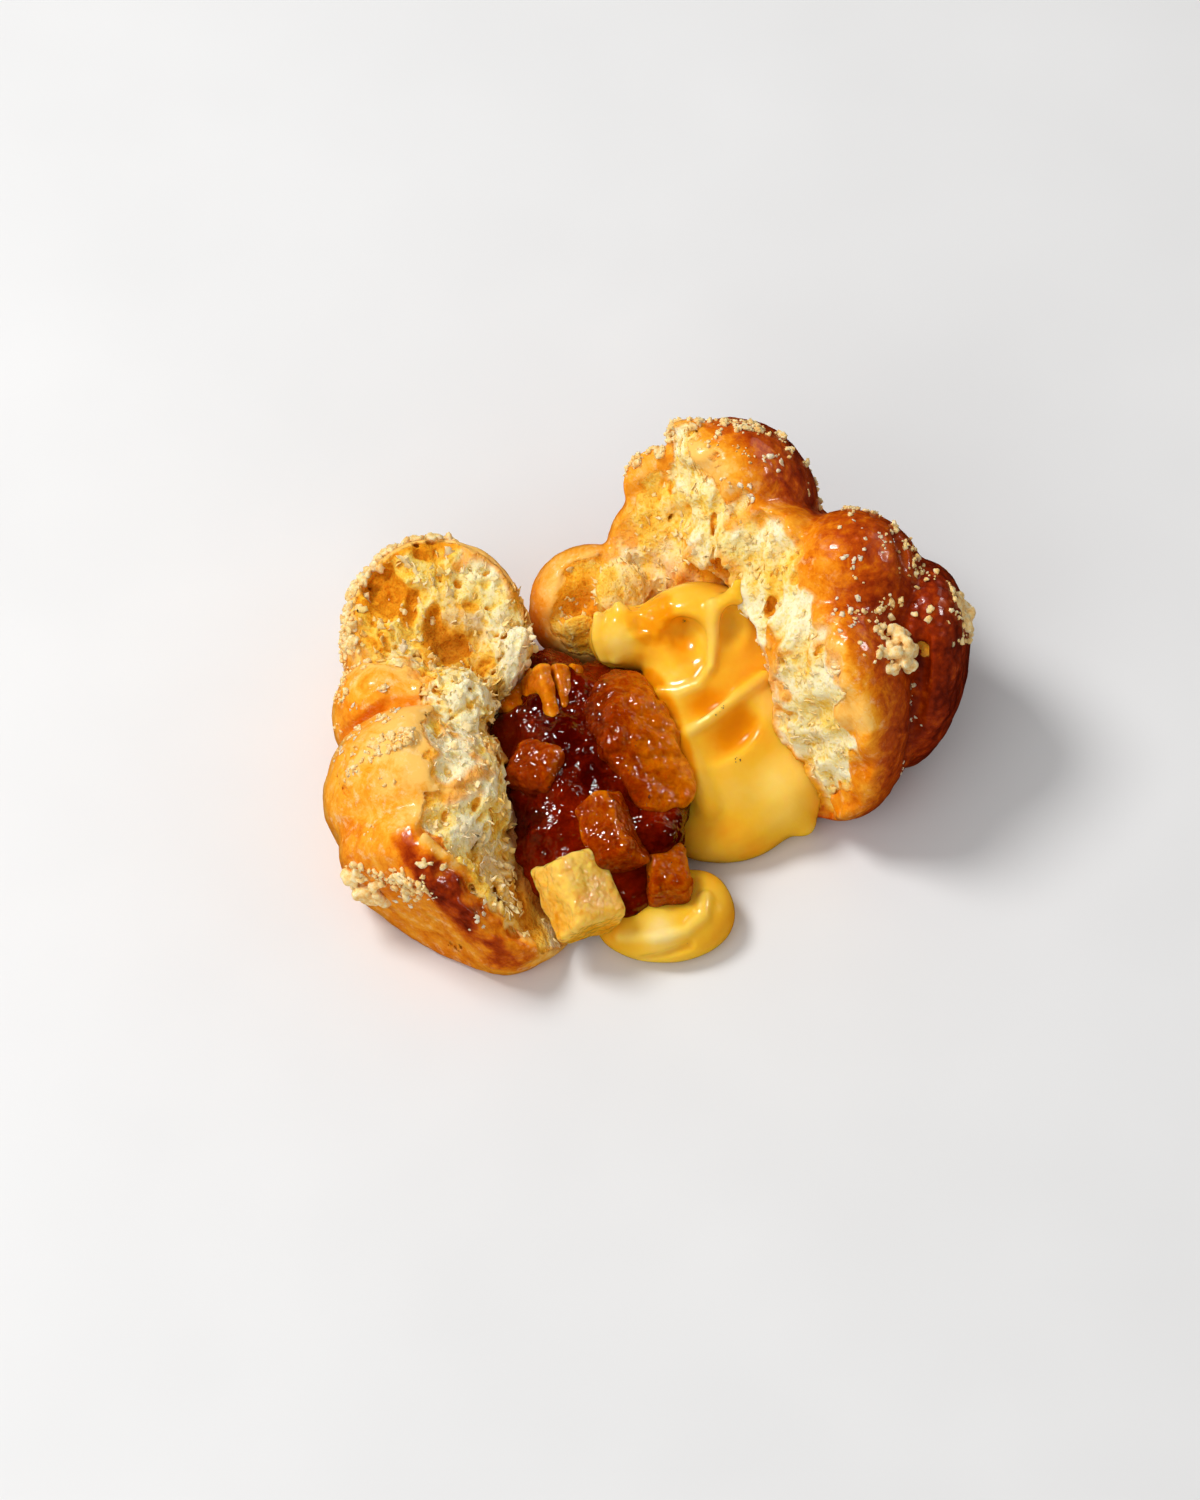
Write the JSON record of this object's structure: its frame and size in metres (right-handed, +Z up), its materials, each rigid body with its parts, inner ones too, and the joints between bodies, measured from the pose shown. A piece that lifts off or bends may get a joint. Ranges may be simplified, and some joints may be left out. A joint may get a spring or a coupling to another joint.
{
  "type": "torn filled brioche bun",
  "caption": "Round brioche bun with crumble topping, torn in two halves round custard cream and apple compote",
  "frame": {"origin": "middle of the footprint of the whole torn bun, on the surface that it rests on", "axes": "+Z up; +X from the left half to the right half; -Y towards the open front, where the custard runs out"},
  "size_m": [0.1308, 0.1118, 0.0555],
  "materials": {
    "bread": "satin",
    "custard": "gloss",
    "compote": "gloss",
    "apple": "gloss",
    "dark_apple": "gloss",
    "crumble": "matte"
  },
  "bodies": {
    "root": {"bread_left": "bread", "bread_right": "bread", "custard": "custard", "custard_dollop": "custard", "compote": "compote", "apple_lump_dark": "dark_apple", "apple_dice_front": "apple", "apple_dice_middle": "apple", "apple_dice_left": "apple", "apple_dice_right": "apple", "apple_slice_back": "apple", "apple_sliver_back": "apple", "crumble_clump_ridge": "crumble", "crumble_clump_right": "crumble", "crumble_clump_left": "crumble"}
  },
  "joints": []
}
